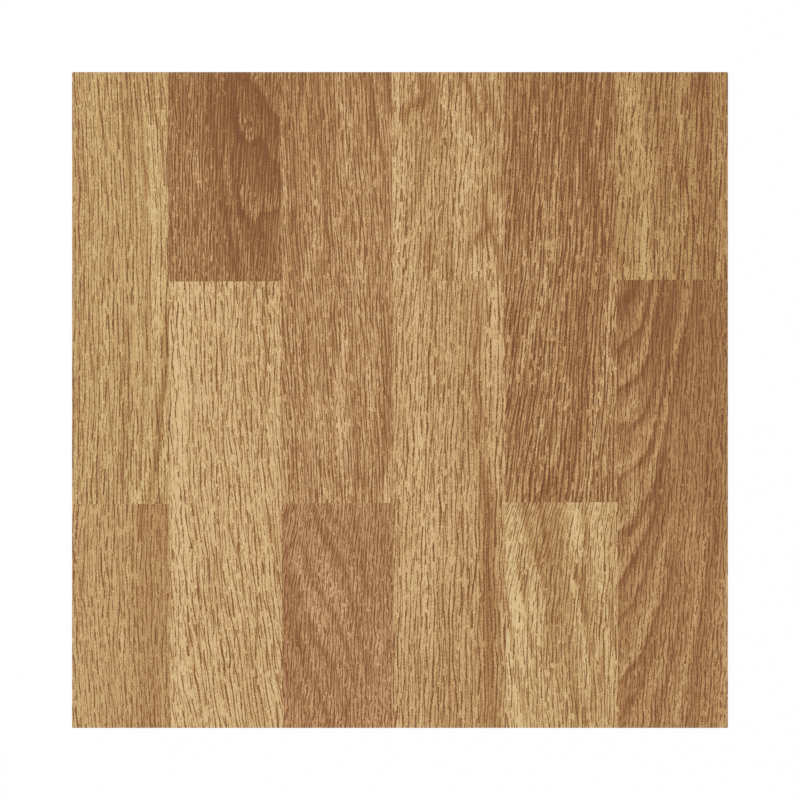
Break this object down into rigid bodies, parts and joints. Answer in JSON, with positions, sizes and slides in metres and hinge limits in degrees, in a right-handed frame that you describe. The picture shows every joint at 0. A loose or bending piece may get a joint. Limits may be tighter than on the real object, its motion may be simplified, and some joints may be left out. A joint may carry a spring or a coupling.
{
  "type": "vinyl floor tile",
  "caption": "Square, thin vinyl floor tile with a printed and embossed oak strip pattern on its face, for gluing down edge to edge.",
  "frame": {"origin": "middle of the back face, which lies on the floor", "axes": "+Z out of the wear face, +Y along the printed strips and their grain, +X across the strips"},
  "size_m": [0.3048, 0.3048, 0.0012],
  "materials": {
    "vinyl_face": "satin, printed oak strips under a clear wear layer embossed with wood grain"
  },
  "bodies": {
    "root": {"tile": "vinyl_face"}
  },
  "joints": []
}
